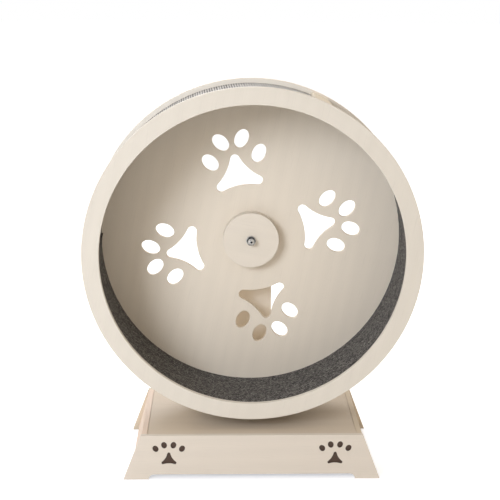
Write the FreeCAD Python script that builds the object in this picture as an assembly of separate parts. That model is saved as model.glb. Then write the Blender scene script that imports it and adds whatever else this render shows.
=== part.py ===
import FreeCAD, Part
import math
import os

from FreeCAD import Vector

# A running wheel for cats: a carpeted plywood wheel that turns on one axle, carried by a post at its
# back above a wooden box stand. Millimetres, +Z up, axle along Y, open side of the wheel towards -Y.
# The origin lies on the floor, in the middle of the overall width and depth.

# Wheel
wheel_diameter = 1000
ring_width = 51
ring_thickness = 15
disc_thickness = 15
track_width = 252
groove_depth = 5
lip_height = 18
carpet_thickness = 6
hoop_thickness = 9
wrap_thickness = 2
glue_gap = 0.1
wheel_arris = 1.5
wheel_phase_deg = 11.5
hoop_joint_deg = 65
carpet_seam_deg = 178
carpet_seam_gap = 1.5
batten_width = 50
batten_thickness = 12

# Paw cut-outs in the disc
disc_paw_count = 4
disc_paw_base_radius = 162
disc_pad_width = 146
disc_pad_height = 108
disc_toe_length = 60
disc_toe_width = 42

# Paw recesses in the front board
board_paw_offset = 250
board_paw_base_height = 50
board_pad_width = 45
board_pad_height = 38
board_toe_length = 21
board_toe_width = 17
board_paw_depth = 4

# Hub and axle
hub_diameter = 174
hub_boss_thickness = 36
rear_plate_thickness = 15
hub_arris = 1.5
axle_diameter = 16
axle_across_flats = 24
axle_head_height = 10
axle_centre_diameter = 8
axle_centre_depth = 4
front_washer_diameter = 30
front_washer_thickness = 3
rear_washer_diameter = 50
rear_washer_thickness = 3
clamp_nut_height = 13
lock_nut_height = 16
lock_nut_collar_height = 4
bolt_end_length = 5
axle_fit = 0.05

# Bearings
bearing_outer_diameter = 35
bearing_width = 11
bearing_inner_shoulder_diameter = 20.9
bearing_outer_shoulder_diameter = 30.1
ball_diameter = 5.95
ball_count = 8
race_clearance = 0.1
cage_thickness = 1.3
cage_width = 8
pocket_clearance = 0.15
seal_thickness = 0.8
seal_recess = 0.3
seal_seat_depth = 0.5
seal_clearance = 0.1
seat_fit = 0.02
front_spacer_length = 11
rear_spacer_length = 6

# Upright and bearing blocks
upright_thickness = 30
upright_base_width = 524
upright_post_width = 140
upright_arris = 1.5
bearing_block_diameter = 130
bearing_block_thickness = 18
block_arris = 1.5
block_throat_diameter = 27

# Stand
board_thickness = 15
board_height = 142
base_bottom_width = 774
base_top_width = 666
foot_height = 16
foot_width = 75
foot_round = 17
board_arris = 1
front_board_lead = 46
deck_recess = 2
deck_side_gap = 0.3
wheel_clearance = 34
end_top_inset = 2
end_bottom_inset = 15
corner_block_width = 32
corner_block_depth = 32
cleat_width = 22
cleat_height = 22
cleat_end_gap = 6

# Fasteners
block_bolt_diameter = 6
block_bolt_flats = 10
block_bolt_head = 4
block_nut_height = 5
block_washer_diameter = 12
block_washer_thickness = 1.6
block_bolt_circle = 96
block_bolt_count = 4
upright_bolt_diameter = 8
upright_bolt_flats = 13
upright_bolt_head = 5.3
upright_nut_height = 6.5
upright_washer_diameter = 16
upright_washer_thickness = 1.6
upright_bolt_edge = 22
bolt_tail = 3
hub_screw_diameter = 5
hub_screw_head = 9.6
hub_screw_bite = 20
hub_screw_circle = 124
hub_screw_count = 6
disc_screw_diameter = 3.5
disc_screw_head = 7
disc_screw_bite = 24
disc_screw_count = 12
splice_screw_diameter = 3.5
splice_screw_head = 7
splice_screw_bite = 6
splice_screw_edge = 30
block_screw_diameter = 4
block_screw_head = 8
block_screw_bite = 10
block_screw_edge = 22
cleat_screw_diameter = 4
cleat_screw_head = 8
cleat_screw_bite = 10
cleat_screw_edge = 60
screw_fit = 0.1
bolt_fit = 0.25
overrun = 20

# Shares of hexagon and screw forms, and of an arris when its edges are looked for
hex_face_share = 0.95
hex_bevel_share = 0.06
screw_head_height_share = 0.5
screw_tip_share = 1.2
screw_point_share = 0.15
screw_slot_length_share = 0.62
screw_slot_width_share = 0.17
screw_slot_depth_share = 0.24
arris_find_share = 0.05

# Shares of a paw print: radii over pad width, toe places over pad width and height, toe lean in degrees
pad_corner_radius_share = 0.10
pad_apex_radius_share = 0.10
pad_side_radius_share = 1.05
pad_base_radius_share = 1.15
disc_toe_shares = ((0.525, 0.90, 35), (0.226, 1.41, 35))
board_toe_shares = ((0.88, 1.32, 30), (0.31, 1.62, 14))

# Radii of the wheel
wheel_radius = wheel_diameter / 2
ring_inner_radius = wheel_radius - ring_width
carpet_face_radius = ring_inner_radius + lip_height
carpet_back_radius = carpet_face_radius + carpet_thickness
hoop_inner_radius = carpet_back_radius + glue_gap
hoop_outer_radius = hoop_inner_radius + hoop_thickness
wrap_inner_radius = hoop_outer_radius + glue_gap
wrap_outer_radius = wrap_inner_radius + wrap_thickness
batten_outer_radius = wrap_inner_radius + batten_thickness
hoop_middle_radius = (hoop_inner_radius + hoop_outer_radius) / 2
batten_half_deg = math.degrees(batten_width / 2 / hoop_outer_radius)

# Heights
deck_top = board_height - deck_recess
deck_bottom = deck_top - board_thickness
axle_height = deck_top + wheel_clearance + wheel_radius
axle_radius = axle_diameter / 2
axle_hole_radius = axle_radius + axle_fit

# Places along the axle, from the front board to the head of the bolt
wheel_depth = ring_thickness + track_width + disc_thickness
hub_clamp_length = rear_plate_thickness + rear_washer_thickness + clamp_nut_height
carrier_depth = bearing_block_thickness + upright_thickness + bearing_block_thickness
tail_length = rear_spacer_length + axle_head_height
overall_depth = (front_board_lead + wheel_depth + hub_clamp_length + front_spacer_length
                 + carrier_depth + tail_length)
front_board_front = -overall_depth / 2
front_board_back = front_board_front + board_thickness
ring_front = front_board_front + front_board_lead
ring_back = ring_front + ring_thickness
disc_front = ring_back + track_width
disc_back = disc_front + disc_thickness
hub_front = disc_front - hub_boss_thickness
front_washer_front = hub_front - front_washer_thickness
lock_nut_front = front_washer_front - lock_nut_height
axle_front = lock_nut_front - bolt_end_length
plate_back = disc_back + rear_plate_thickness
rear_washer_back = plate_back + rear_washer_thickness
clamp_nut_back = rear_washer_back + clamp_nut_height
front_block_front = clamp_nut_back + front_spacer_length
upright_front = front_block_front + bearing_block_thickness
upright_back = upright_front + upright_thickness
rear_block_back = upright_back + bearing_block_thickness
front_bearing_back = front_block_front + bearing_width
rear_bearing_front = rear_block_back - bearing_width
rear_spacer_back = rear_block_back + rear_spacer_length
axle_back = rear_spacer_back + axle_head_height
rear_board_back = upright_front
rear_board_front = rear_board_back - board_thickness
bearing_fronts = (front_block_front, rear_bearing_front)

# Sizes of the stand's leaning ends
base_bottom_half = base_bottom_width / 2
base_top_half = base_top_width / 2
board_slope = (base_bottom_half - base_top_half) / board_height
end_outer_top = base_top_half - end_top_inset
end_outer_bottom = base_bottom_half - board_slope * foot_height - end_bottom_inset
end_height = board_height - foot_height
end_lean = math.atan2(end_outer_bottom - end_outer_top, end_height)
end_wall = board_thickness / math.cos(end_lean)

along_axle = Vector(0, 1, 0)
front_counter_clockwise = Vector(0, -1, 0)
wheel_centre = Vector(0, 0, axle_height)


def point(x, z, y=0):
    return Vector(x, y, z)


def on_circle(radius, angle_deg):
    angle = math.radians(angle_deg)
    return point(radius * math.cos(angle), axle_height + radius * math.sin(angle))


def line(start, end):
    return Part.LineSegment(start, end).toShape()


def arc(start, middle, end):
    return Part.Arc(start, middle, end).toShape()


def circle_wire(radius, x=0, z=axle_height):
    return Part.Wire([Part.makeCircle(radius, point(x, z), along_axle)])


def polygon_wire(points):
    return Part.makePolygon(list(points) + [points[0]])


def prism(wires, y_from, y_to):
    face = Part.makeFace(wires, "Part::FaceMakerBullseye")
    solid = face.extrude(Vector(0, y_to - y_from, 0))
    solid.translate(Vector(0, y_from, 0))
    return solid


def eased(solid, radius, y_places):
    def lies_at(edge, y):
        return abs(edge.BoundBox.YMin - y) + abs(edge.BoundBox.YMax - y) < radius * arris_find_share

    return solid.makeFillet(radius, [e for e in solid.Edges if any(lies_at(e, y) for y in y_places)])


def rod(radius, y_from, y_to, x=0, z=axle_height):
    return Part.makeCylinder(radius, y_to - y_from, Vector(x, y_from, z), along_axle)


def tube(outer_radius, inner_radius, y_from, y_to, x=0, z=axle_height):
    bore = rod(inner_radius, y_from - overrun, y_to + overrun, x, z)
    return rod(outer_radius, y_from, y_to, x, z).cut(bore)


def ring_sector(inner_radius, outer_radius, start_deg, end_deg, y_from, y_to):
    middle_deg = (start_deg + end_deg) / 2
    edges = [arc(on_circle(outer_radius, start_deg), on_circle(outer_radius, middle_deg),
                 on_circle(outer_radius, end_deg)),
             line(on_circle(outer_radius, end_deg), on_circle(inner_radius, end_deg)),
             arc(on_circle(inner_radius, end_deg), on_circle(inner_radius, middle_deg),
                 on_circle(inner_radius, start_deg)),
             line(on_circle(inner_radius, start_deg), on_circle(outer_radius, start_deg))]
    return prism([Part.Wire(edges)], y_from, y_to)


def turned(shape, angle_deg):
    copy = shape.copy()
    copy.rotate(wheel_centre, front_counter_clockwise, angle_deg)
    return copy


def hexagon(across_flats, y_from, y_to, x=0, z=axle_height):
    corner = across_flats / math.sqrt(3)
    corners = [point(x + corner * math.cos(k * math.pi / 3), z + corner * math.sin(k * math.pi / 3))
               for k in range(6)]
    blank = prism([polygon_wire(corners)], y_from, y_to)
    face_radius = across_flats * hex_face_share / 2
    bevel = across_flats * hex_bevel_share
    front_cone = Part.makeCone(face_radius, corner, bevel, Vector(x, y_from, z), along_axle)
    barrel = rod(corner, y_from + bevel, y_to - bevel, x, z)
    back_cone = Part.makeCone(corner, face_radius, bevel, Vector(x, y_to - bevel, z), along_axle)
    return blank.common(front_cone.fuse([barrel, back_cone]).removeSplitter())


def nut(across_flats, bore_radius, y_from, y_to, x=0, z=axle_height):
    return hexagon(across_flats, y_from, y_to, x, z).cut(rod(bore_radius, y_from - overrun, y_to + overrun, x, z))


def screw(head_place, direction, diameter, head_diameter, length, ease=0):
    head_height = head_diameter * screw_head_height_share
    tip_length = diameter * screw_tip_share
    shank_radius = diameter / 2 + ease
    head_radius = head_diameter / 2 + ease
    shank_end = head_place + direction * (length - tip_length)
    head = Part.makeCone(head_radius, shank_radius, head_height, head_place, direction)
    shank = Part.makeCylinder(shank_radius, length - tip_length, head_place, direction)
    tip = Part.makeCone(shank_radius, diameter * screw_point_share + ease, tip_length + ease, shank_end, direction)
    return head.fuse([shank, tip]).removeSplitter()


def screw_slots(head_place, direction, head_diameter):
    length = head_diameter * screw_slot_length_share
    width = head_diameter * screw_slot_width_share
    depth = head_diameter * screw_slot_depth_share
    slots = []
    for size in ((length, width), (width, length)):
        slot = Part.makeBox(size[0], size[1], depth + overrun)
        slot.translate(Vector(-size[0] / 2, -size[1] / 2, -overrun))
        slot.Placement = FreeCAD.Placement(head_place, FreeCAD.Rotation(Vector(0, 0, 1), direction)) * slot.Placement
        slots.append(slot)
    return slots[0].fuse(slots[1])


def driven_screw(head_place, direction, diameter, head_diameter, length):
    return screw(head_place, direction, diameter, head_diameter, length).cut(
        screw_slots(head_place, direction, head_diameter))


# Paw prints
def hollow_centre(first, first_radius, second, second_radius, radius):
    # Middle of the hollow arc that touches two round corners, to the left of the way from first to second
    way = second - first
    first_reach = first_radius + radius
    second_reach = second_radius + radius
    along = (first_reach ** 2 - second_reach ** 2 + way.Length ** 2) / (2 * way.Length)
    aside = math.sqrt(first_reach ** 2 - along ** 2)
    way.normalize()
    return first + way * along + point(-way.z, way.x) * aside


def towards(start, end, distance):
    return start + (end - start).normalize() * distance


def mirrored(place):
    return point(-place.x, place.z)


def pad_wire(width, height):
    corner_radius = pad_corner_radius_share * width
    apex_radius = pad_apex_radius_share * width
    side_radius = pad_side_radius_share * width
    base_radius = pad_base_radius_share * width
    apex = point(0, height - apex_radius)
    corner = point(width / 2 - corner_radius, corner_radius)
    side = hollow_centre(apex, apex_radius, corner, corner_radius, side_radius)
    base = hollow_centre(corner, corner_radius, mirrored(corner), corner_radius, base_radius)
    apex_end = towards(apex, side, apex_radius)
    side_end = towards(corner, side, corner_radius)
    side_middle = towards(side, (apex_end + side_end) / 2, side_radius)
    corner_tip = towards(corner, apex, -corner_radius)
    base_end = towards(corner, base, corner_radius)
    edges = [arc(mirrored(apex_end), point(0, height), apex_end), arc(apex_end, side_middle, side_end),
             arc(side_end, corner_tip, base_end),
             arc(base_end, base + point(0, base_radius), mirrored(base_end)),
             arc(mirrored(base_end), mirrored(corner_tip), mirrored(side_end)),
             arc(mirrored(side_end), mirrored(side_middle), mirrored(apex_end))]
    return Part.Wire(edges)


def toe_wire(x, z, length, width, lean_deg):
    lean = math.radians(lean_deg)
    long_end = point(x + length / 2 * math.sin(lean), z + length / 2 * math.cos(lean))
    side = point(x + width / 2 * math.cos(lean), z - width / 2 * math.sin(lean))
    return Part.Wire([Part.Ellipse(long_end, side, point(x, z)).toShape()])


def paw_wires(pad_width, pad_height, toe_length, toe_width, toe_shares):
    wires = [pad_wire(pad_width, pad_height)]
    for across_share, up_share, lean_deg in toe_shares:
        for side in (-1, 1):
            wires.append(toe_wire(side * across_share * pad_width, up_share * pad_height,
                                  toe_length, toe_width, side * lean_deg))
    return wires


# Wheel
def front_ring():
    ring = eased(prism([circle_wire(wheel_radius), circle_wire(ring_inner_radius)], ring_front, ring_back),
                 wheel_arris, (ring_front, ring_back))
    return ring.cut(hoop_groove(ring_back - groove_depth, ring_back + overrun))


def hoop_groove(y_from, y_to):
    return tube(hoop_outer_radius + glue_gap, hoop_inner_radius - glue_gap, y_from, y_to)


def back_disc():
    holes = [circle_wire(axle_hole_radius)]
    for k in range(disc_paw_count):
        for wire in paw_wires(disc_pad_width, disc_pad_height, disc_toe_length, disc_toe_width, disc_toe_shares):
            wire.translate(Vector(0, 0, axle_height + disc_paw_base_radius))
            holes.append(turned(wire, wheel_phase_deg + k * 360 / disc_paw_count))
    disc = eased(prism([circle_wire(wheel_radius)] + holes, disc_front, disc_back),
                 wheel_arris, (disc_front, disc_back))
    disc = disc.cut(hoop_groove(disc_front - overrun, disc_front + groove_depth))
    return disc.cut(disc_screw_set(screw_fit) + hub_screw_set(screw_fit))


def track_hoop(start_deg, end_deg):
    hoop = ring_sector(hoop_inner_radius, hoop_outer_radius, start_deg, end_deg,
                       ring_back - groove_depth, disc_front + groove_depth)
    return hoop.cut(disc_screw_set(screw_fit) + splice_screw_set(screw_fit))


def splice_batten(angle_deg):
    batten = ring_sector(wrap_inner_radius, batten_outer_radius, angle_deg - batten_half_deg,
                         angle_deg + batten_half_deg, ring_back, disc_front)
    return batten.cut(splice_screw_set(screw_fit))


def splice_battens():
    return Part.makeCompound([splice_batten(hoop_joint_deg), splice_batten(hoop_joint_deg + 180)])


def splice_screw_places():
    places = []
    for joint_deg in (hoop_joint_deg, hoop_joint_deg + 180):
        for side in (-1, 1):
            angle_deg = joint_deg + side * batten_half_deg / 2
            for y in (ring_back + splice_screw_edge, disc_front - splice_screw_edge):
                place = on_circle(batten_outer_radius, angle_deg)
                place.y = y
                inward = on_circle(0, 0) - on_circle(batten_outer_radius, angle_deg)
                places.append((place, inward.normalize()))
    return places


def splice_screw_set(ease):
    length = batten_thickness + splice_screw_bite
    return [screw(place, inward, splice_screw_diameter, splice_screw_head, length, ease)
            for place, inward in splice_screw_places()]


def splice_screws():
    length = batten_thickness + splice_screw_bite
    return Part.makeCompound([driven_screw(place, inward, splice_screw_diameter, splice_screw_head, length)
                              for place, inward in splice_screw_places()])


def running_carpet():
    half_gap_deg = math.degrees(carpet_seam_gap / 2 / carpet_face_radius)
    return ring_sector(carpet_face_radius, carpet_back_radius, carpet_seam_deg + half_gap_deg,
                       carpet_seam_deg + 360 - half_gap_deg, ring_back, disc_front)


def outer_wrap(joint_deg):
    gap_deg = batten_half_deg + math.degrees(glue_gap / wrap_inner_radius)
    return ring_sector(wrap_inner_radius, wrap_outer_radius, joint_deg + gap_deg, joint_deg + 180 - gap_deg,
                       ring_back, disc_front)


def disc_screw_places():
    step_deg = 360 / disc_screw_count
    places = [on_circle(hoop_middle_radius, hoop_joint_deg + (k + 1 / 2) * step_deg) for k in range(disc_screw_count)]
    return [Vector(p.x, disc_back, p.z) for p in places]


def disc_screw_set(ease):
    length = disc_thickness + disc_screw_bite
    return [screw(place, -along_axle, disc_screw_diameter, disc_screw_head, length, ease)
            for place in disc_screw_places()]


def disc_screws():
    length = disc_thickness + disc_screw_bite
    return Part.makeCompound([driven_screw(place, -along_axle, disc_screw_diameter, disc_screw_head, length)
                              for place in disc_screw_places()])


# Hub and axle
def hub_screw_places():
    step_deg = 360 / hub_screw_count
    places = [on_circle(hub_screw_circle / 2, wheel_phase_deg + k * step_deg) for k in range(hub_screw_count)]
    return [Vector(p.x, plate_back, p.z) for p in places]


def hub_screw_set(ease):
    length = rear_plate_thickness + disc_thickness + hub_screw_bite
    return [screw(place, -along_axle, hub_screw_diameter, hub_screw_head, length, ease)
            for place in hub_screw_places()]


def hub_screws():
    length = rear_plate_thickness + disc_thickness + hub_screw_bite
    return Part.makeCompound([driven_screw(place, -along_axle, hub_screw_diameter, hub_screw_head, length)
                              for place in hub_screw_places()])


def hub_round(y_from, y_to):
    block = prism([circle_wire(hub_diameter / 2), circle_wire(axle_hole_radius)], y_from, y_to)
    outer_edges = [e for e in block.Edges if e.BoundBox.XLength > hub_diameter / 2]
    rim_edges = [e for e in outer_edges if e.BoundBox.YLength < hub_arris]
    return block.makeFillet(hub_arris, rim_edges).cut(hub_screw_set(screw_fit))


def axle_bolt():
    head = hexagon(axle_across_flats, rear_spacer_back, axle_back)
    shank = rod(axle_radius, axle_front, rear_spacer_back)
    end_edges = [e for e in shank.Edges if abs(e.BoundBox.YMax - axle_front) < axle_fit]
    shank = shank.makeChamfer(bolt_end_length / 2, end_edges)
    centre = Part.makeCone(axle_centre_diameter / 2, 0, axle_centre_depth, Vector(0, axle_front, axle_height),
                           along_axle)
    return head.fuse(shank.cut(centre)).removeSplitter()


def axle_washer(diameter, y_from, y_to):
    return tube(diameter / 2, axle_hole_radius, y_from, y_to)


def lock_nut():
    collar_back = lock_nut_front + lock_nut_collar_height
    collar = rod(axle_across_flats * hex_face_share / 2, lock_nut_front, collar_back)
    body = hexagon(axle_across_flats, collar_back, front_washer_front)
    return body.fuse(collar).cut(rod(axle_hole_radius, lock_nut_front - overrun, front_washer_front + overrun))


def spacer(y_from, y_to):
    return tube(bearing_inner_shoulder_diameter / 2 - seal_clearance, axle_hole_radius, y_from, y_to)


# Bearings
pitch_radius = (axle_diameter + bearing_outer_diameter) / 4
ball_radius = ball_diameter / 2


def bearing_middles():
    return [y + bearing_width / 2 for y in bearing_fronts]


def race(y_middle):
    return Part.makeTorus(pitch_radius, ball_radius + race_clearance, Vector(0, y_middle, axle_height), along_axle)


def bearing_inner_rings():
    return Part.makeCompound([
        tube(bearing_inner_shoulder_diameter / 2, axle_hole_radius, y, y + bearing_width).cut(race(middle))
        for y, middle in zip(bearing_fronts, bearing_middles())])


def seal_spans(y):
    back = y + bearing_width - seal_recess
    return ((y + seal_recess, y + seal_recess + seal_thickness), (back - seal_thickness, back))


seal_outer_radius = bearing_outer_shoulder_diameter / 2 + seal_seat_depth


def bearing_outer_ring(y, middle):
    ring = tube(bearing_outer_diameter / 2, bearing_outer_shoulder_diameter / 2, y, y + bearing_width)
    front_span, back_span = seal_spans(y)
    front_seat = rod(seal_outer_radius, y - overrun, front_span[1])
    back_seat = rod(seal_outer_radius, back_span[0], y + bearing_width + overrun)
    return ring.cut([race(middle), front_seat, back_seat])


def bearing_outer_rings():
    return Part.makeCompound([bearing_outer_ring(y, middle) for y, middle in zip(bearing_fronts, bearing_middles())])


def bearing_seals():
    inner_radius = bearing_inner_shoulder_diameter / 2 + seal_clearance
    return Part.makeCompound([tube(seal_outer_radius - seat_fit, inner_radius, start, end)
                              for y in bearing_fronts for start, end in seal_spans(y)])


def ball_places(middle):
    step_deg = 360 / ball_count
    return [on_circle(pitch_radius, k * step_deg) + Vector(0, middle, 0) for k in range(ball_count)]


def bearing_balls():
    return Part.makeCompound([Part.makeSphere(ball_radius, place)
                              for middle in bearing_middles() for place in ball_places(middle)])


def bearing_cages():
    cages = []
    for middle in bearing_middles():
        cage = tube(pitch_radius + cage_thickness / 2, pitch_radius - cage_thickness / 2,
                    middle - cage_width / 2, middle + cage_width / 2)
        pockets = []
        for place in ball_places(middle):
            outward = Vector(place.x, 0, place.z - axle_height).normalize()
            start = Vector(0, middle, axle_height)
            pockets.append(Part.makeCylinder(ball_radius + pocket_clearance, pitch_radius * 2, start, outward))
        cages.append(cage.cut(pockets))
    return Part.makeCompound(cages)


# Feet, as the boards and the upright stand on the floor
def floor_edges(half_width):
    foot_inner = point(half_width - foot_width, 0)
    arch_end = point(half_width - foot_width - foot_round, foot_height)
    arch_radius = (foot_round ** 2 + foot_height ** 2) / (2 * foot_height)
    arch_middle = towards(arch_end - point(0, arch_radius), (foot_inner + arch_end) / 2, arch_radius)
    return [line(point(-half_width, 0), mirrored(foot_inner)),
            arc(mirrored(foot_inner), mirrored(arch_middle), mirrored(arch_end)),
            line(mirrored(arch_end), arch_end),
            arc(arch_end, arch_middle, foot_inner),
            line(foot_inner, point(half_width, 0))]


# Upright and bearing blocks
def block_bolt_places():
    step_deg = 360 / block_bolt_count
    return [on_circle(block_bolt_circle / 2, (k + 1 / 2) * step_deg) for k in range(block_bolt_count)]


def block_bolt_holes():
    return [rod(block_bolt_diameter / 2 + bolt_fit, front_block_front - overrun, rear_block_back + overrun, p.x, p.z)
            for p in block_bolt_places()]


def bearing_block(y_from, y_to, bearing_front):
    block = prism([circle_wire(bearing_block_diameter / 2)], y_from, y_to)
    block = block.makeFillet(block_arris, [e for e in block.Edges if e.BoundBox.YLength < block_arris])
    throat = rod(block_throat_diameter / 2, y_from - overrun, y_to + overrun)
    seat_start = bearing_front if bearing_front > y_from else y_from - overrun
    seat_end = bearing_front + bearing_width if bearing_front == y_from else y_to + overrun
    seat = rod(bearing_outer_diameter / 2 + seat_fit, seat_start, seat_end)
    return block.cut([throat, seat] + block_bolt_holes())


def upright_outline():
    base_half = upright_base_width / 2
    post_half = upright_post_width / 2
    flare = base_half - post_half
    flare_start = point(base_half, board_height)
    flare_end = point(post_half, board_height + flare)
    flare_middle = towards(point(base_half, board_height + flare), (flare_start + flare_end) / 2, flare)
    head_start = point(post_half, axle_height)
    edges = floor_edges(base_half)
    edges += [line(point(base_half, 0), flare_start), arc(flare_start, flare_middle, flare_end),
              line(flare_end, head_start),
              arc(head_start, point(0, axle_height + post_half), mirrored(head_start)),
              line(mirrored(head_start), mirrored(flare_end)),
              arc(mirrored(flare_end), mirrored(flare_middle), mirrored(flare_start)),
              line(mirrored(flare_start), point(-base_half, 0))]
    return Part.Wire(edges)


def upright_bolt_places():
    outer = upright_base_width / 2 - upright_bolt_edge
    heights = (foot_height + upright_bolt_edge, deck_bottom - cleat_height - upright_bolt_edge)
    return [(x, z) for z in heights for x in (-outer, 0, outer)]


def upright_bolt_holes():
    return [rod(upright_bolt_diameter / 2 + bolt_fit, rear_board_front - overrun, upright_back + overrun, x, z)
            for x, z in upright_bolt_places()]


def upright_post():
    post = eased(prism([upright_outline()], upright_front, upright_back), upright_arris,
                 (upright_front, upright_back))
    throat = rod(block_throat_diameter / 2, upright_front - overrun, upright_back + overrun)
    return post.cut([throat] + block_bolt_holes() + upright_bolt_holes())


def upright_bolts():
    bolts = []
    shank_end = upright_back + upright_washer_thickness + upright_nut_height + bolt_tail
    for x, z in upright_bolt_places():
        head = hexagon(upright_bolt_flats, rear_board_front - upright_bolt_head, rear_board_front, x, z)
        bolts.append(head.fuse(rod(upright_bolt_diameter / 2, rear_board_front, shank_end, x, z)).removeSplitter())
    return Part.makeCompound(bolts)


def upright_washers():
    return Part.makeCompound([tube(upright_washer_diameter / 2, upright_bolt_diameter / 2 + bolt_fit, upright_back,
                                   upright_back + upright_washer_thickness, x, z)
                              for x, z in upright_bolt_places()])


def upright_nuts():
    start = upright_back + upright_washer_thickness
    return Part.makeCompound([nut(upright_bolt_flats, upright_bolt_diameter / 2 + axle_fit, start,
                                  start + upright_nut_height, x, z) for x, z in upright_bolt_places()])


def block_bolts():
    bolts = []
    head_start = rear_block_back + block_washer_thickness
    shank_start = front_block_front - block_washer_thickness - block_nut_height - bolt_tail
    for p in block_bolt_places():
        head = hexagon(block_bolt_flats, head_start, head_start + block_bolt_head, p.x, p.z)
        bolts.append(head.fuse(rod(block_bolt_diameter / 2, shank_start, head_start, p.x, p.z)).removeSplitter())
    return Part.makeCompound(bolts)


def block_washers():
    washers = []
    for p in block_bolt_places():
        for y in (front_block_front - block_washer_thickness, rear_block_back):
            washers.append(tube(block_washer_diameter / 2, block_bolt_diameter / 2 + bolt_fit, y,
                                y + block_washer_thickness, p.x, p.z))
    return Part.makeCompound(washers)


def block_nuts():
    nut_back = front_block_front - block_washer_thickness
    return Part.makeCompound([nut(block_bolt_flats, block_bolt_diameter / 2 + axle_fit, nut_back - block_nut_height,
                                  nut_back, p.x, p.z) for p in block_bolt_places()])


# Stand
def board_outline():
    foot = point(base_bottom_half, 0)
    corner = point(base_top_half, board_height)
    sides = [line(foot, corner), line(corner, mirrored(corner)), line(mirrored(corner), mirrored(foot))]
    return Part.Wire(floor_edges(base_bottom_half) + sides)


def front_board():
    board = eased(prism([board_outline()], front_board_front, front_board_back), board_arris, (front_board_front,))
    recesses = []
    for side in (-1, 1):
        for wire in paw_wires(board_pad_width, board_pad_height, board_toe_length, board_toe_width, board_toe_shares):
            wire.translate(Vector(side * board_paw_offset, 0, board_paw_base_height))
            recesses.append(prism([wire], front_board_front - overrun, front_board_front + board_paw_depth))
    return board.cut(recesses + corner_screw_set(screw_fit) + cleat_screw_set(screw_fit))


def rear_board():
    board = prism([board_outline()], rear_board_front, rear_board_back)
    return board.cut(corner_screw_set(screw_fit) + cleat_screw_set(screw_fit) + upright_bolt_holes())


def end_inner(z):
    return end_outer_top + (board_height - z) * math.tan(end_lean) - end_wall


def leaning_profile(outer_step, inner_step, z_low, z_high, side):
    points = [(end_inner(z_low) + outer_step, z_low), (end_inner(z_high) + outer_step, z_high),
              (end_inner(z_high) - inner_step, z_high), (end_inner(z_low) - inner_step, z_low)]
    return polygon_wire([point(side * x, z) for x, z in points])


def end_board(side):
    board = prism([leaning_profile(end_wall, 0, foot_height, board_height, side)], front_board_back, rear_board_front)
    return board.cut(corner_screw_set(screw_fit))


def deck_board():
    top_half = end_inner(deck_top) - deck_side_gap
    bottom_half = end_inner(deck_bottom) - deck_side_gap
    profile = polygon_wire([point(-bottom_half, deck_bottom), point(bottom_half, deck_bottom),
                            point(top_half, deck_top), point(-top_half, deck_top)])
    return prism([profile], front_board_back, rear_board_front).cut(cleat_screw_set(screw_fit))


def corner_block_spans():
    return ((front_board_back, front_board_back + corner_block_depth),
            (rear_board_front - corner_block_depth, rear_board_front))


def corner_screw_places():
    places = []
    outward_x = math.cos(end_lean)
    outward_z = math.sin(end_lean)
    for side in (-1, 1):
        for z in (foot_height + block_screw_edge, deck_bottom - block_screw_edge):
            middle_x = end_inner(z) - corner_block_width / 2
            front_head = front_board_back + corner_block_depth
            rear_head = rear_board_front - corner_block_depth
            places.append((Vector(side * middle_x, front_head, z), -along_axle, corner_block_depth))
            places.append((Vector(side * middle_x, rear_head, z), along_axle, corner_block_depth))
        z = (foot_height + deck_bottom) / 2
        head_x = end_inner(z) - corner_block_width
        outward = Vector(side * outward_x, 0, outward_z)
        for start, end in corner_block_spans():
            places.append((Vector(side * head_x, (start + end) / 2, z), outward, corner_block_width * outward_x))
    return places


def corner_screw_set(ease):
    return [screw(place, direction, block_screw_diameter, block_screw_head, depth + block_screw_bite, ease)
            for place, direction, depth in corner_screw_places()]


def corner_screws():
    return Part.makeCompound([driven_screw(place, direction, block_screw_diameter, block_screw_head,
                                           depth + block_screw_bite)
                              for place, direction, depth in corner_screw_places()])


def corner_blocks():
    holes = corner_screw_set(screw_fit)
    blocks = []
    for side in (-1, 1):
        for start, end in corner_block_spans():
            profile = leaning_profile(0, corner_block_width, foot_height, deck_bottom, side)
            blocks.append(prism([profile], start, end).cut(holes))
    return Part.makeCompound(blocks)


def cleat_half():
    return end_inner(deck_bottom) - corner_block_width - cleat_end_gap


def cleat_screw_places():
    half = cleat_half() - cleat_screw_edge
    bottom = deck_bottom - cleat_height
    middle_z = deck_bottom - cleat_height / 2
    places = []
    for x_share in (-1, -1 / 3, 1 / 3, 1):
        x = half * x_share
        aside = x + cleat_screw_head * (1 if x < 0 else -1) * 2
        for wall, direction in ((front_board_back, 1), (rear_board_front, -1)):
            inner_face = wall + direction * cleat_width
            places.append((Vector(x, wall + direction * cleat_width / 2, bottom), Vector(0, 0, 1), cleat_height))
            places.append((Vector(aside, inner_face, middle_z), along_axle * -direction, cleat_width))
    return places


def cleat_screw_set(ease):
    return [screw(place, direction, cleat_screw_diameter, cleat_screw_head, depth + cleat_screw_bite, ease)
            for place, direction, depth in cleat_screw_places()]


def cleat_screws():
    return Part.makeCompound([driven_screw(place, direction, cleat_screw_diameter, cleat_screw_head,
                                           depth + cleat_screw_bite)
                              for place, direction, depth in cleat_screw_places()])


def deck_cleats():
    holes = cleat_screw_set(screw_fit)
    half = cleat_half()
    bottom = deck_bottom - cleat_height
    profile = polygon_wire([point(-half, bottom), point(half, bottom), point(half, deck_bottom),
                            point(-half, deck_bottom)])
    spans = ((front_board_back, front_board_back + cleat_width), (rear_board_front - cleat_width, rear_board_front))
    return Part.makeCompound([prism([profile], start, end).cut(holes) for start, end in spans])


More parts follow.
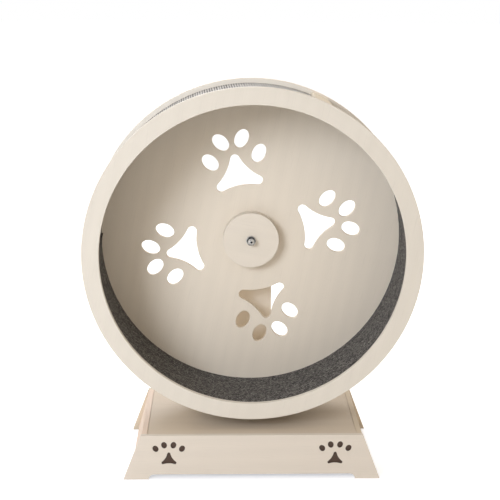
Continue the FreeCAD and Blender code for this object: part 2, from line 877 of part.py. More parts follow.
nodes = {
    "front_ring": front_ring(),
    "back_disc": back_disc(),
    "track_hoop_upper": track_hoop(hoop_joint_deg, hoop_joint_deg + 180),
    "track_hoop_lower": track_hoop(hoop_joint_deg + 180, hoop_joint_deg + 360),
    "splice_battens": splice_battens(),
    "splice_screws": splice_screws(),
    "running_carpet": running_carpet(),
    "outer_wrap_upper": outer_wrap(hoop_joint_deg),
    "outer_wrap_lower": outer_wrap(hoop_joint_deg + 180),
    "disc_screws": disc_screws(),
    "hub_boss": hub_round(hub_front, disc_front),
    "rear_hub_plate": hub_round(disc_back, plate_back),
    "hub_screws": hub_screws(),
    "axle_bolt": axle_bolt(),
    "front_axle_washer": axle_washer(front_washer_diameter, front_washer_front, hub_front),
    "rear_axle_washer": axle_washer(rear_washer_diameter, plate_back, rear_washer_back),
    "axle_clamp_nut": nut(axle_across_flats, axle_hole_radius, rear_washer_back, clamp_nut_back),
    "front_spacer_sleeve": spacer(clamp_nut_back, front_block_front),
    "middle_spacer_sleeve": spacer(front_bearing_back, rear_bearing_front),
    "rear_spacer_ring": spacer(rear_block_back, rear_spacer_back),
    "axle_lock_nut": lock_nut(),
    "bearing_inner_rings": bearing_inner_rings(),
    "bearing_outer_rings": bearing_outer_rings(),
    "bearing_seals": bearing_seals(),
    "bearing_balls": bearing_balls(),
    "bearing_cages": bearing_cages(),
    "front_bearing_block": bearing_block(front_block_front, upright_front, front_block_front),
    "rear_bearing_block": bearing_block(upright_back, rear_block_back, rear_bearing_front),
    "block_bolts": block_bolts(),
    "block_washers": block_washers(),
    "block_nuts": block_nuts(),
    "upright_post": upright_post(),
    "upright_bolts": upright_bolts(),
    "upright_washers": upright_washers(),
    "upright_nuts": upright_nuts(),
    "front_board": front_board(),
    "rear_board": rear_board(),
    "left_end_board": end_board(-1),
    "right_end_board": end_board(1),
    "deck_board": deck_board(),
    "corner_blocks": corner_blocks(),
    "corner_screws": corner_screws(),
    "deck_cleats": deck_cleats(),
    "cleat_screws": cleat_screws(),
}

os.makedirs("parts", exist_ok=True)
for name, shape in nodes.items():
    print(name, len(shape.Solids), round(shape.Volume), shape.isValid())
    shape.exportStep("parts/%s.step" % name)
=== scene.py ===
import math

import bpy
from mathutils import Matrix, Vector, noise


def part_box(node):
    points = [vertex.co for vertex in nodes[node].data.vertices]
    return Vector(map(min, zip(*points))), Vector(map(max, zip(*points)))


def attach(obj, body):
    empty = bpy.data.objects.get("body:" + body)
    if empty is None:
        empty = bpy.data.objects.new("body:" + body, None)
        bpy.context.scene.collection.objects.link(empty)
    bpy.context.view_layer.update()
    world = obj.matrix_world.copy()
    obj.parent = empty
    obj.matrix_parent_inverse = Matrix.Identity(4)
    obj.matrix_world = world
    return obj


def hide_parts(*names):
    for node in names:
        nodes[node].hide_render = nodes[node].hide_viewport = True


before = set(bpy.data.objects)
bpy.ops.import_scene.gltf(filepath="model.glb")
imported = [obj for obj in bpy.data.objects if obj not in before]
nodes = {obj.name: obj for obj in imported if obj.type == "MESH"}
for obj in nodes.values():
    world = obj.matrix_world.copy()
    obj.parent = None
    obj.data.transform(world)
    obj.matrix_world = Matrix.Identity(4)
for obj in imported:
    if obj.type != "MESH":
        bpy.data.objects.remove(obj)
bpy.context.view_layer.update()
print("frame loaded:", len(nodes), "nodes")


def linear(hexCode):  # sRGB hex to linear RGBA
    channels = [int(hexCode[i:i + 2], 16) / 255 for i in (1, 3, 5)]
    return [c / 12.92 if c <= 0.04045 else ((c + 0.055) / 1.055) ** 2.4 for c in channels] + [1]


def darker(colour, share):
    return [c * share for c in colour[:3]] + [1]


def addNode(tree, kind, values=None, links=None, **settings):
    node = tree.nodes.new(kind)
    for key, value in settings.items():
        setattr(node, key, value)
    for socket, value in (values or {}).items():
        node.inputs[socket].default_value = value
    for socket, source in (links or {}).items():
        tree.links.new(source, node.inputs[socket])
    return node


def addMaterial(name, values):
    material = bpy.data.materials.new(name)
    material.use_nodes = True
    tree = material.node_tree
    tree.nodes.clear()
    shader = addNode(tree, "ShaderNodeBsdfPrincipled", values)
    addNode(tree, "ShaderNodeOutputMaterial", links={"Surface": shader.outputs["BSDF"]})
    return material, tree, shader


def dress(material, *names):
    for name in names:
        mesh = nodes[name].data
        mesh.materials.clear()
        mesh.materials.append(material)


def waveScale(period):  # Blender's wave texture runs through one band in 2 pi / 20 units at scale 1
    return 2 * math.pi / 20 / period


# Sizes below are in metres
streakScale = 0.5  # a noise cell holds a light and a dark streak, so it is two streaks wide

# Birch plywood, rotary cut, sanded and sealed with matt lacquer: a pale, nearly plain face with faint growth
# bands and short pore lines along the grain, and light and dark layers where the edge is cut
birch = {
    "lateWood": 0.965, "pore": 0.86, "plyCross": 0.93,  # shares of the veneer's own brightness
    "bandWidth": 0.050, "bandStretch": 8, "patchSize": 1 / 6,
    "poreWidth": 0.0018, "poreLength": 0.050,  # real pores are 0.1 mm wide, too fine for this picture
    "plyThickness": 0.003,  # five layers in 15 mm, coarser than the real eleven so that they show
    "endGrainSize": 0.002, "layerShare": 0.5,
}

# Paw prints routed 4 mm into the front board, their walls and floor coloured dark brown: middle and half
# width of the brown space along the board, up it and into it
pawPrints = {
    "front_board": {"printBrown": "#513e33", "X": (0, 0.325), "Y": (-0.0825, 0.0525), "Z": (0.003, 0.0026)},
}

# The disc's lip outside the track, coloured a greyer cream than the inside of the disc
lips = {"back_disc": {"colour": "#f3ede2", "trackRadius": 0.4815}}


def birchPlywood(name, grain, through, veneer):
    grain, through = Vector(grain).normalized(), Vector(through).normalized()
    turn = Matrix((grain, through.cross(grain), through)).to_euler()
    faceAt = min(v.co.dot(through) for v in nodes[name].data.vertices)
    material, tree, shader = addMaterial("birch_plywood_" + name,
                                         {"IOR": 1.5, "Coat Weight": 0.08, "Coat Roughness": 0.4})
    coords = addNode(tree, "ShaderNodeTexCoord")
    board = addNode(tree, "ShaderNodeMapping", {"Rotation": turn, "Location": (0, 0, -faceAt)},
                    {"Vector": coords.outputs["Object"]})
    facing = addNode(tree, "ShaderNodeMapping", {"Rotation": turn}, {"Vector": coords.outputs["Normal"]},
                     vector_type="VECTOR")
    facing = addNode(tree, "ShaderNodeSeparateXYZ", links={0: facing.outputs[0]})
    facing = addNode(tree, "ShaderNodeMath", links={0: facing.outputs["Z"]}, operation="ABSOLUTE")
    onFace = addNode(tree, "ShaderNodeMapRange", {"From Min": 0.15, "From Max": 0.35},
                     {"Value": facing.outputs[0]})

    alongGrain = addNode(tree, "ShaderNodeMapping", {"Scale": (1 / birch["bandStretch"], 1, 1)},
                         {"Vector": board.outputs[0]})
    bands = addNode(tree, "ShaderNodeTexWave",
                    {"Scale": waveScale(birch["bandWidth"]), "Distortion": 7, "Detail": 2.5,
                     "Detail Scale": 0.8, "Detail Roughness": 0.55},
                    {"Vector": alongGrain.outputs[0]}, bands_direction="Y")
    poreSpace = addNode(tree, "ShaderNodeMapping",
                        {"Scale": (1 / birch["poreLength"], 1 / birch["poreWidth"], 1 / birch["poreWidth"])},
                        {"Vector": board.outputs[0]})
    pores = addNode(tree, "ShaderNodeTexNoise", {"Scale": streakScale, "Detail": 2},
                    {"Vector": poreSpace.outputs[0]})
    pores = addNode(tree, "ShaderNodeMapRange", {"From Min": 0.58, "From Max": 0.76, "To Max": 0.35},
                    {"Value": pores.outputs["Fac"]})
    patches = addNode(tree, "ShaderNodeTexNoise", {"Scale": 1 / birch["patchSize"], "Detail": 3},
                      {"Vector": alongGrain.outputs[0]})
    bandShare = addNode(tree, "ShaderNodeMath", links={0: bands.outputs["Fac"], 1: patches.outputs["Fac"]},
                        operation="MULTIPLY")
    veneer = linear(veneer)
    face = addNode(tree, "ShaderNodeMix", {6: veneer, 7: darker(veneer, birch["lateWood"])},
                   {0: bandShare.outputs[0]}, data_type="RGBA")
    face = addNode(tree, "ShaderNodeMix", {7: darker(veneer, birch["pore"])},
                   {0: pores.outputs[0], 6: face.outputs[2]}, data_type="RGBA")
    if name in lips:
        low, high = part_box(name)
        fromAxle = addNode(tree, "ShaderNodeVectorMath", {1: (low + high) / 2},
                           {0: coords.outputs["Object"]}, operation="DISTANCE")
        onLip = addNode(tree, "ShaderNodeMath", {1: lips[name]["trackRadius"]},
                        {0: fromAxle.outputs["Value"]}, operation="GREATER_THAN")
        face = addNode(tree, "ShaderNodeMix", {7: linear(lips[name]["colour"])},
                       {0: onLip.outputs[0], 6: face.outputs[2]}, data_type="RGBA")

    layers = addNode(tree, "ShaderNodeTexWave",
                     {"Scale": waveScale(2 * birch["plyThickness"]), "Distortion": 0.6, "Detail Scale": 0.3,
                      "Phase Offset": math.pi / 2}, {"Vector": board.outputs[0]}, bands_direction="Z")
    layers = addNode(tree, "ShaderNodeMapRange", {"From Min": 0.35, "From Max": 0.65},
                     {"Value": layers.outputs["Fac"]})
    endGrain = addNode(tree, "ShaderNodeTexNoise", {"Scale": 1 / birch["endGrainSize"], "Detail": 2},
                       {"Vector": board.outputs[0]})
    endGrain = addNode(tree, "ShaderNodeMath", {1: birch["layerShare"]},
                       {0: layers.outputs[0], 2: endGrain.outputs["Fac"]}, operation="MULTIPLY_ADD")
    edge = addNode(tree, "ShaderNodeMix", {6: veneer, 7: darker(veneer, birch["plyCross"])},
                   {0: endGrain.outputs[0]}, data_type="RGBA")
    colour = addNode(tree, "ShaderNodeMix",
                     links={0: onFace.outputs[0], 6: edge.outputs[2], 7: face.outputs[2]}, data_type="RGBA")
    if name in pawPrints:
        prints, inside = pawPrints[name], None
        place = addNode(tree, "ShaderNodeSeparateXYZ", links={0: board.outputs[0]})
        for axis in "XYZ":
            middle, halfWidth = prints[axis]
            within = addNode(tree, "ShaderNodeMath", {1: middle, 2: halfWidth}, {0: place.outputs[axis]},
                             operation="COMPARE")
            if inside:
                within = addNode(tree, "ShaderNodeMath",
                                 links={0: inside.outputs[0], 1: within.outputs[0]}, operation="MULTIPLY")
            inside = within
        # the routed prints' walls and floor take the dark brown
        colour = addNode(tree, "ShaderNodeMix", {7: linear(prints["printBrown"])},
                         {0: inside.outputs[0], 6: colour.outputs[2]}, data_type="RGBA")
    gloss = addNode(tree, "ShaderNodeMapRange", {"To Min": 0.46, "To Max": 0.62}, {"Value": pores.outputs[0]})
    relief = addNode(tree, "ShaderNodeBump", {"Strength": 0.25, "Distance": 0.0004},
                     {"Height": pores.outputs[0]}, invert=True)
    tree.links.new(colour.outputs[2], shader.inputs["Base Color"])
    tree.links.new(gloss.outputs[0], shader.inputs["Roughness"])
    tree.links.new(relief.outputs[0], shader.inputs["Normal"])
    return material


endLean = math.radians(15.5)  # the stand's end boards lean in by this much
plainVeneer = "#e9dfd0"
# Veneer colours are set board by board; on some boards they hold painted light and shade, noted beside them
boards = {  # grain direction, direction through the thickness, colour of the sheet's veneer
    "front_ring": ((0.2, 0, 1), (0, 1, 0), "#e6dfd3"),
    # the back disc's veneer is paler than the ring's as painted light, making up for light the deep wheel
    # keeps off it
    "back_disc": ((0.2, 0, 1), (0, 1, 0), "#f6ebda"),
    "hub_boss": ((1, 0, -0.2), (0, 1, 0), "#f3e9da"),
    "rear_hub_plate": ((1, 0, 0.3), (0, 1, 0), plainVeneer),
    "front_bearing_block": ((1, 0, 0), (0, 1, 0), plainVeneer),
    "rear_bearing_block": ((1, 0, 0), (0, 1, 0), plainVeneer),
    "upright_post": ((0, 0, 1), (0, 1, 0), plainVeneer),
    "front_board": ((1, 0, 0), (0, 1, 0), "#e6dccf"),
    "rear_board": ((1, 0, 0), (0, 1, 0), "#dfd1bb"),
    # the deck board's darker veneer is painted shade from the wheel above it
    "deck_board": ((1, 0, 0), (0, 0, 1), "#d5c6b2"),
    # the two end boards are the same plywood: the left one's lighter, peachier veneer is painted light from
    # the key on its side, the right one's darker veneer is painted shade
    "left_end_board": ((0, 1, 0), (-math.cos(endLean), 0, math.sin(endLean)), "#ebd5c2"),
    "right_end_board": ((0, 1, 0), (math.cos(endLean), 0, math.sin(endLean)), "#d8c8b0"),
}
for board, (grain, through, veneer) in boards.items():
    dress(birchPlywood(board, grain, through, veneer), board)
print("plywood:", len(boards), "boards")

# Pine, planed: yellower than the birch, with clear early and late wood lines
pine = {"earlyWood": "#ede4d4", "lateWood": "#e0d2b9", "ringWidth": 0.006, "ringStretch": 14, "ringFlat": 0.6}


def planedPine(name, grain, across):
    grain, across = Vector(grain), Vector(across)
    turn = Matrix((grain, across, grain.cross(across))).to_euler()
    material, tree, shader = addMaterial("planed_pine_" + name, {"IOR": 1.5})
    coords = addNode(tree, "ShaderNodeTexCoord")
    batten = addNode(tree, "ShaderNodeMapping", {"Rotation": turn}, {"Vector": coords.outputs["Object"]})
    alongGrain = addNode(tree, "ShaderNodeMapping", {"Scale": (1 / pine["ringStretch"], 1, pine["ringFlat"])},
                         {"Vector": batten.outputs[0]})
    rings = addNode(tree, "ShaderNodeTexWave",
                    {"Scale": waveScale(pine["ringWidth"]), "Distortion": 5, "Detail": 2,
                     "Detail Scale": 0.5},
                    {"Vector": alongGrain.outputs[0]}, bands_direction="Y", wave_profile="SAW")
    colour = addNode(tree, "ShaderNodeMix", {6: linear(pine["earlyWood"]), 7: linear(pine["lateWood"])},
                     {0: rings.outputs["Fac"]}, data_type="RGBA")
    gloss = addNode(tree, "ShaderNodeMapRange", {"To Min": 0.65, "To Max": 0.5},
                    {"Value": rings.outputs["Fac"]})
    relief = addNode(tree, "ShaderNodeBump", {"Strength": 0.2, "Distance": 0.0003},
                     {"Height": rings.outputs["Fac"]})
    tree.links.new(colour.outputs[2], shader.inputs["Base Color"])
    tree.links.new(gloss.outputs[0], shader.inputs["Roughness"])
    tree.links.new(relief.outputs[0], shader.inputs["Normal"])
    return material


dress(planedPine("battens", (0, 1, 0), (1, 0, 0)), "splice_battens")
dress(planedPine("cleats", (1, 0, 0), (0, 1, 0)), "deck_cleats")
dress(planedPine("blocks", (0, 0, 1), (0, 1, 0)), "corner_blocks")

# Poplar bending plywood, unsealed: soft greenish cream veneer, its grain across the track so that it bends
poplar = {"veneer": "#dccbaa", "streak": "#bda67d", "streakWidth": 0.004, "streakLength": 0.12}


def bendingPlywood():
    material, tree, shader = addMaterial("poplar_bending_plywood", {"IOR": 1.5})
    coords = addNode(tree, "ShaderNodeTexCoord")
    across, along = 1 / poplar["streakWidth"], 1 / poplar["streakLength"]
    stretched = addNode(tree, "ShaderNodeMapping", {"Scale": (across, along, across)},
                        {"Vector": coords.outputs["Object"]})
    streaks = addNode(tree, "ShaderNodeTexNoise", {"Scale": streakScale, "Detail": 3},
                      {"Vector": stretched.outputs[0]})
    colour = addNode(tree, "ShaderNodeMix", {6: linear(poplar["veneer"]), 7: linear(poplar["streak"])},
                     {0: streaks.outputs["Fac"]}, data_type="RGBA")
    gloss = addNode(tree, "ShaderNodeMapRange", {"To Min": 0.6, "To Max": 0.75},
                    {"Value": streaks.outputs["Fac"]})
    tree.links.new(colour.outputs[2], shader.inputs["Base Color"])
    tree.links.new(gloss.outputs[0], shader.inputs["Roughness"])
    return material


dress(bendingPlywood(), "track_hoop_upper", "track_hoop_lower")

# Steel, cold headed and zinc plated: a cool grey shine broken by a cloudy plating, with rolled threads
zinc = {
    # the darkest grey is painted shade, laid into holes and round outlines
    "bright": "#eeeeed", "cloud": "#cbcdcf", "gloss": (0.3, 0.46), "cloudSize": 0.006, "shadeGrey": "#26282a",
    "threadDepth": 0.5,  # share of the pitch
}
# The axle bolt's freshly turned end: brighter, duller and raised to a slight point
turnedZinc = {**zinc, "bright": "#fbfbfa", "cloud": "#e9eaeb", "gloss": (0.42, 0.54), "crown": 0.36}


def zincPlated(name, threadPitch=None, paintedShade=None, plating=zinc):
    material, tree, shader = addMaterial(name, {"Metallic": 1.0})
    coords = addNode(tree, "ShaderNodeTexCoord")
    clouds = addNode(tree, "ShaderNodeTexNoise", {"Scale": 1 / plating["cloudSize"], "Detail": 4},
                     {"Vector": coords.outputs["Object"]})
    colour = addNode(tree, "ShaderNodeMix", {6: linear(plating["bright"]), 7: linear(plating["cloud"])},
                     {0: clouds.outputs["Fac"]}, data_type="RGBA")
    gloss = addNode(tree, "ShaderNodeMapRange",
                    {"To Min": plating["gloss"][0], "To Max": plating["gloss"][1]},
                    {"Value": clouds.outputs["Fac"]})
    if threadPitch:  # the thread is on the shank, not on the end faces
        normal = addNode(tree, "ShaderNodeSeparateXYZ", links={0: coords.outputs["Normal"]})
        onEnd = addNode(tree, "ShaderNodeMath", links={0: normal.outputs["Y"]}, operation="ABSOLUTE")
        onShank = addNode(tree, "ShaderNodeMapRange", {"From Min": 0.4, "From Max": 0.2},
                          {"Value": onEnd.outputs[0]})
        turns = addNode(tree, "ShaderNodeTexWave", {"Scale": waveScale(threadPitch)},
                        {"Vector": coords.outputs["Object"]}, bands_direction="Y", wave_profile="TRI")
        thread = addNode(tree, "ShaderNodeMath", links={0: turns.outputs["Fac"], 1: onShank.outputs[0]},
                         operation="MULTIPLY")
        relief = addNode(tree, "ShaderNodeBump",
                         {"Strength": 0.8, "Distance": threadPitch * plating["threadDepth"]},
                         {"Height": thread.outputs[0]})
        tree.links.new(relief.outputs[0], shader.inputs["Normal"])
    # painted shade: the given places are darkened towards the dark grey
    if paintedShade:
        fromMiddle = addNode(tree, "ShaderNodeVectorMath", {1: paintedShade["middle"]},
                             {0: coords.outputs["Object"]}, operation="DISTANCE")
        inPaintedShade = addNode(tree, "ShaderNodeMath", {1: paintedShade["radius"]}, {0: fromMiddle.outputs["Value"]},
                       operation=paintedShade["where"])
        colour = addNode(tree, "ShaderNodeMix", {7: linear(plating["shadeGrey"])},
                         {0: inPaintedShade.outputs[0], 6: colour.outputs[2]}, data_type="RGBA")
    if "crown" in plating:
        crown = addNode(tree, "ShaderNodeBump", {"Distance": plating["crown"]},
                        {"Height": fromMiddle.outputs["Value"]}, invert=True)
        tree.links.new(crown.outputs[0], relief.inputs["Normal"])
    tree.links.new(colour.outputs[2], shader.inputs["Base Color"])
    tree.links.new(gloss.outputs[0], shader.inputs["Roughness"])
    return material


dress(zincPlated("zinc_plated_steel"),
      "splice_screws", "disc_screws", "hub_screws", "corner_screws", "cleat_screws",
      "front_axle_washer", "rear_axle_washer", "axle_clamp_nut", "block_washers", "block_nuts",
      "upright_washers", "upright_nuts", "front_spacer_sleeve", "middle_spacer_sleeve", "rear_spacer_ring")
boltLow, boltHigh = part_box("axle_bolt")
boltEnd = (0, boltLow.y, (boltLow.z + boltHigh.z) / 2)
nutFace = (0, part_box("axle_lock_nut")[0].y, boltEnd[2])
# Painted shade: a dark grey fills the drilled centre in the bolt's end and the nut's corners, standing in for
# the shade in the hole and round the nut
shadedHoleEnd = {"middle": boltEnd, "radius": 0.0038, "where": "LESS_THAN"}
shadedNutCorners = {"middle": nutFace, "radius": 0.0105, "where": "GREATER_THAN"}
dress(zincPlated("zinc_plated_thread_16", 0.002, shadedHoleEnd, turnedZinc), "axle_bolt")
dress(zincPlated("zinc_plated_nut_16", paintedShade=shadedNutCorners), "axle_lock_nut")
dress(zincPlated("zinc_plated_thread_8", 0.00125), "upright_bolts")
dress(zincPlated("zinc_plated_thread_6", 0.001), "block_bolts")

# Bearing steel, hardened and ground: a clear mirror with faint grinding rings round the axle
ground = {"bright": "#d4d5d6", "shade": "#b4b6b8", "lineSpacing": 0.0008}


def groundSteel():
    material, tree, shader = addMaterial("ground_bearing_steel", {"Metallic": 1.0})
    coords = addNode(tree, "ShaderNodeTexCoord")
    lines = addNode(tree, "ShaderNodeTexWave", {"Scale": waveScale(ground["lineSpacing"]), "Distortion": 1.5},
                    {"Vector": coords.outputs["Object"]}, bands_direction="Y")
    colour = addNode(tree, "ShaderNodeMix", {6: linear(ground["bright"]), 7: linear(ground["shade"])},
                     {0: lines.outputs["Fac"]}, data_type="RGBA")
    gloss = addNode(tree, "ShaderNodeMapRange", {"To Min": 0.1, "To Max": 0.2},
                    {"Value": lines.outputs["Fac"]})
    tree.links.new(colour.outputs[2], shader.inputs["Base Color"])
    tree.links.new(gloss.outputs[0], shader.inputs["Roughness"])
    return material


dress(groundSteel(), "bearing_inner_rings", "bearing_outer_rings", "bearing_balls")

# Steel strip, pressed: duller than the ground rings, with a fine tumbled grain
pressed = {"bright": "#a9aaab", "shade": "#7f8183", "grit": 0.0006}


def pressedSteel():
    material, tree, shader = addMaterial("pressed_steel_strip", {"Metallic": 1.0})
    coords = addNode(tree, "ShaderNodeTexCoord")
    grains = addNode(tree, "ShaderNodeTexNoise", {"Scale": 1 / pressed["grit"], "Detail": 2},
                     {"Vector": coords.outputs["Object"]})
    colour = addNode(tree, "ShaderNodeMix", {6: linear(pressed["bright"]), 7: linear(pressed["shade"])},
                     {0: grains.outputs["Fac"]}, data_type="RGBA")
    gloss = addNode(tree, "ShaderNodeMapRange", {"To Min": 0.35, "To Max": 0.5},
                    {"Value": grains.outputs["Fac"]})
    tree.links.new(colour.outputs[2], shader.inputs["Base Color"])
    tree.links.new(gloss.outputs[0], shader.inputs["Roughness"])
    return material


dress(pressedSteel(), "bearing_cages")

# Nitrile rubber, moulded: near black with a soft, slightly greasy sheen
rubber = {"body": "#17171a", "bloom": "#2b2b2e", "bloomSize": 0.004}


def nitrileRubber():
    material, tree, shader = addMaterial("nitrile_rubber_moulded", {"IOR": 1.52})
    coords = addNode(tree, "ShaderNodeTexCoord")
    bloom = addNode(tree, "ShaderNodeTexNoise", {"Scale": 1 / rubber["bloomSize"], "Detail": 3},
                    {"Vector": coords.outputs["Object"]})
    colour = addNode(tree, "ShaderNodeMix", {6: linear(rubber["body"]), 7: linear(rubber["bloom"])},
                     {0: bloom.outputs["Fac"]}, data_type="RGBA")
    gloss = addNode(tree, "ShaderNodeMapRange", {"To Min": 0.45, "To Max": 0.65},
                    {"Value": bloom.outputs["Fac"]})
    tree.links.new(colour.outputs[2], shader.inputs["Base Color"])
    tree.links.new(gloss.outputs[0], shader.inputs["Roughness"])
    return material


dress(nitrileRubber(), "bearing_seals")
print("metal, rubber and pine dressed")

carpetLow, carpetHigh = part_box("running_carpet")
wheelAxis = Vector((0, 0, (carpetLow.z + carpetHigh.z) / 2))
sideGap = 0.0004  # felt and cloth stop this far from the ring and the disc


# A strip bent round the axle, closed all round. strip gives its back's radius, on which side of it the seen
# face lies, its ends in degrees and its edges along the axle. faceShape(along, across) gives how far the
# seen face stands from the back at a place on the flat strip
def bentStrip(name, strip, faceShape):
    low, high = strip["low"], strip["high"]
    steps, segments = strip["edgeSteps"], strip["segments"]
    columns = 4 * len(steps)
    middle = [low + (high - low) * k / columns for k in range(1, columns)]
    places = [low] + [low + step for step in steps]
    places += [y for y in middle if low + steps[-1] < y < high - steps[-1]]
    places += [high - step for step in reversed(steps)] + [high]
    points, uvs, faces = [], [], []
    for i in range(segments + 1):
        angle = math.radians(strip["start"] + (strip["end"] - strip["start"]) * i / segments)
        along = strip["length"] * i / segments
        direction = Vector((math.cos(angle), 0, math.sin(angle)))
        for y in places:
            radius = strip["back"] + strip["outward"] * faceShape(along, y - low)
            points.append(wheelAxis + direction * radius + Vector((0, y, 0)))
            uvs.append((along, y - low))
        for y in (low, high):
            points.append(wheelAxis + direction * strip["back"] + Vector((0, y, 0)))
            uvs.append((along, y - low))
    last = len(places) - 1
    backLow, backHigh = last + 1, last + 2
    row = last + 3
    for i in range(segments):
        here, there = i * row, (i + 1) * row
        for j in range(last):
            faces.append((here + j, here + j + 1, there + j + 1, there + j))
        for j, k in ((last, backHigh), (backHigh, backLow), (backLow, 0)):
            faces.append((here + j, here + k, there + k, there + j))
    startEnd = list(range(last + 1)) + [backHigh, backLow]
    faces.append(startEnd[::-1])
    faces.append([segments * row + j for j in startEnd])
    if strip["outward"] > 0:
        faces = [face[::-1] for face in faces]
    mesh = bpy.data.meshes.new(name)
    mesh.from_pydata(points, [], faces)
    layer = mesh.uv_layers.new(name="flat")
    for loop in mesh.loops:
        layer.data[loop.index].uv = uvs[loop.vertex_index]
    mesh.update()
    for polygon in mesh.polygons:
        polygon.use_smooth = len(polygon.vertices) == 4
    piece = bpy.data.objects.new(name, mesh)
    bpy.context.scene.collection.objects.link(piece)
    return piece


def fitToTrack(piece, node, material, flat):
    piece.data.materials.append(material)
    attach(piece, "wheel")
    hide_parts(node)
    print(piece.name + ":", len(piece.data.vertices), "points,", round(flat[1], 3), "m long")


# Needle felt of solution dyed polypropylene: dark grey, heathered with lighter fibres that lie along the run
felt = {
    "dark": "#393736", "body": "#575552", "fleck": "#8d8984",
    "tuftWidth": 0.0017, "tuftLength": 0.004,  # real fibres are 0.03 mm wide, drawn coarse so that they show
    "clumpSize": 0.03, "clumpShare": 0.3,
}


def needleFelt():
    material, tree, shader = addMaterial(
        "needle_felt", {"IOR": 1.46, "Roughness": 0.95, "Sheen Weight": 0.04, "Sheen Roughness": 0.5})
    coords = addNode(tree, "ShaderNodeTexCoord")
    tuftSpace = addNode(tree, "ShaderNodeMapping",
                        {"Scale": (1 / felt["tuftLength"], 1 / felt["tuftWidth"], 1)},
                        {"Vector": coords.outputs["UV"]})
    tufts = addNode(tree, "ShaderNodeTexVoronoi", {"Scale": 1.0}, {"Vector": tuftSpace.outputs[0]},
                    voronoi_dimensions="2D")
    tuftShade = addNode(tree, "ShaderNodeSeparateColor", links={0: tufts.outputs["Color"]})
    clumps = addNode(tree, "ShaderNodeTexNoise", {"Scale": 1 / felt["clumpSize"], "Detail": 3},
                     {"Vector": coords.outputs["UV"]}, noise_dimensions="2D")
    mixed = addNode(tree, "ShaderNodeMath", {1: felt["clumpShare"]},
                    {0: clumps.outputs["Fac"], 2: tuftShade.outputs["Red"]}, operation="MULTIPLY_ADD")
    heather = addNode(tree, "ShaderNodeValToRGB", links={"Fac": mixed.outputs[0]})
    ramp = heather.color_ramp.elements
    ramp[0].position, ramp[0].color = 0.40, linear(felt["dark"])
    ramp[1].position, ramp[1].color = 0.80, linear(felt["body"])
    ramp.new(1.0).color = linear(felt["fleck"])
    relief = addNode(tree, "ShaderNodeBump", {"Strength": 0.5, "Distance": 0.001},
                     {"Height": tuftShade.outputs["Red"]})
    tree.links.new(heather.outputs["Color"], shader.inputs["Base Color"])
    tree.links.new(relief.outputs[0], shader.inputs["Normal"])
    return material


carpet = {
    "seamDegrees": 178, "seamGap": 0.0015, "thickness": 0.006, "edgeRound": 0.003, "edgeDrop": 0.6,
    "lift": 0.005, "liftLength": 0.05,  # the cut end below the seam stands a little off the track
    "pile": 0.0006, "pileSize": 0.012, "pileSeed": 0.3, "segments": 640,
    "edgeSteps": (0.0006, 0.0015, 0.003, 0.006, 0.010, 0.015, 0.021, 0.027),
}


def makeCarpet():
    back = (carpetHigh.x - carpetLow.x) / 2
    faceRadius = back - carpet["thickness"]
    halfGap = math.degrees(carpet["seamGap"] / 2 / faceRadius)
    start = carpet["seamDegrees"] + halfGap
    end = carpet["seamDegrees"] + 360 - halfGap
    length = math.radians(end - start) * (back - carpet["thickness"] / 2)
    wide = carpetHigh.y - carpetLow.y

    def faceShape(along, across):
        side = min(across, wide - across)
        rounding = carpet["edgeRound"]
        shoulder = 0 if side > rounding else rounding - math.sqrt(rounding ** 2 - (rounding - side) ** 2)
        spot = Vector((along, across, carpet["pileSeed"])) / carpet["pileSize"]
        tuft = noise.noise(spot) * carpet["pile"]
        fromSeam = max(0, 1 - along / carpet["liftLength"])
        body = carpet["thickness"] - shoulder * carpet["edgeDrop"] - carpet["pile"]
        return body + tuft + carpet["lift"] * fromSeam ** 2

    strip = {"back": back, "outward": -1, "start": start, "end": end, "length": length,
             "low": carpetLow.y + sideGap, "high": carpetHigh.y - sideGap,
             "segments": carpet["segments"], "edgeSteps": carpet["edgeSteps"]}
    piece = bentStrip("running_carpet_felt", strip, faceShape)
    fitToTrack(piece, "running_carpet", needleFelt(), (wide, length))


makeCarpet()

# Twill woven polyester: light and dark grey yarns in steep ribs across the track, with a soft matt face
cloth = {
    "lightYarn": "#c2bfbb", "darkYarn": "#383634",
    "ribSpacing": 0.0075,  # real ribs lie 1 mm apart, drawn coarse so that they show
    "ribSlant": math.radians(2),
    "breakLength": 0.06,
}


